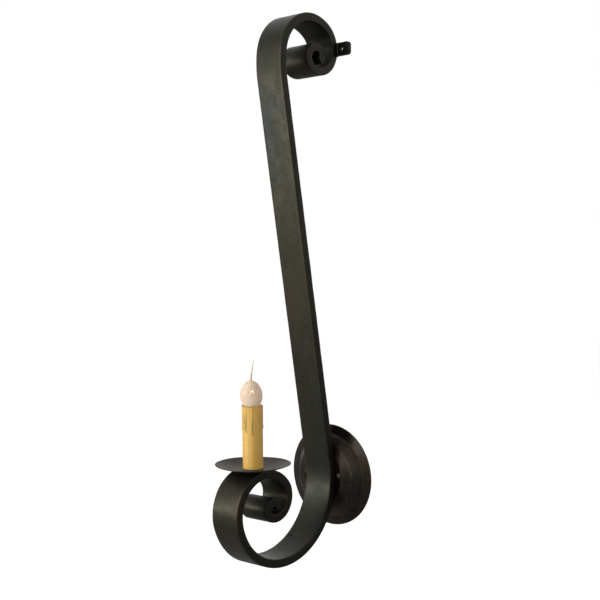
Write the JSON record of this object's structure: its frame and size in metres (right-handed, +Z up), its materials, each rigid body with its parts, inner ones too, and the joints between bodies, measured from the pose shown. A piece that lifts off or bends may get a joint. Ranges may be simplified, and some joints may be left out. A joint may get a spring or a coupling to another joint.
{
  "type": "candle wall sconce",
  "caption": "Tall forged flat bar scrolled at both ends on a round wall canopy, with a drip pan, candle sleeve and dipped candle bulb on the lower scroll.",
  "frame": {"origin": "centre of the junction-box screw pattern, on the wall plane", "axes": "+X along the wall to the viewer's right, +Y into the wall, +Z up"},
  "size_m": [0.127, 0.1905, 0.6575],
  "materials": {
    "scroll_bar": "satin black-brown over forged iron",
    "top_wall_strap": "satin black-brown over iron strap and weld",
    "wall_canopy": "satin black-brown over pressed steel",
    "canopy_crossbar": "zinc plated",
    "canopy_screws": "blackened",
    "ground_screw": "green passivated",
    "bar_bolts": "zinc plated",
    "bar_bolt_washers": "zinc plated",
    "drip_pan": "satin bronze-brown over spun steel",
    "threaded_nipple": "as rolled",
    "nipple_washer": "zinc plated",
    "nipple_locknut": "blackened steel",
    "pan_locknut": "zinc plated",
    "socket_bracket": "zinc plated",
    "socket_body": "phenolic moulding",
    "socket_screw_shell": "rolled brass",
    "socket_centre_contact": "sprung brass",
    "socket_rivets": "plated",
    "contact_rivet": "plain",
    "candle_sleeve": "honey-coloured wax finish",
    "bulb_contact": "solder",
    "bulb_base_insulator": "black glass",
    "bulb_base_shell": "rolled cap",
    "bulb_glass": "clear",
    "bulb_silicone_coat": "milky silicone, lit from inside",
    "bulb_stem": "clear",
    "bulb_lead_wires": "nickel",
    "bulb_filament": "glowing tungsten"
  },
  "bodies": {
    "frame": {"scroll_bar": "scroll_bar", "top_wall_strap": "top_wall_strap", "wall_canopy": "wall_canopy", "canopy_crossbar": "canopy_crossbar", "canopy_screws": "canopy_screws", "ground_screw": "ground_screw", "bar_bolts": "bar_bolts", "bar_bolt_washers": "bar_bolt_washers", "drip_pan": "drip_pan", "threaded_nipple": "threaded_nipple", "nipple_washer": "nipple_washer", "nipple_locknut": "nipple_locknut", "pan_locknut": "pan_locknut", "socket_bracket": "socket_bracket", "socket_body": "socket_body", "socket_screw_shell": "socket_screw_shell", "socket_centre_contact": "socket_centre_contact", "socket_rivets": "socket_rivets", "contact_rivet": "contact_rivet"},
    "sleeve": {"candle_sleeve": "candle_sleeve"},
    "bulb": {"bulb_contact": "bulb_contact", "bulb_base_insulator": "bulb_base_insulator", "bulb_base_shell": "bulb_base_shell", "bulb_glass": "bulb_glass", "bulb_silicone_coat": "bulb_silicone_coat", "bulb_stem": "bulb_stem", "bulb_lead_wires": "bulb_lead_wires", "bulb_filament": "bulb_filament"}
  },
  "joints": [
    {"name": "sleeve_lift", "type": "slide", "parent": "frame", "child": "sleeve", "axis": [0, 0, 1], "range_m": [0, 0.062]},
    {"name": "bulb_lift", "type": "slide", "parent": "sleeve", "child": "bulb", "axis": [0, 0, 1], "range_m": [0, 0.045]}
  ]
}
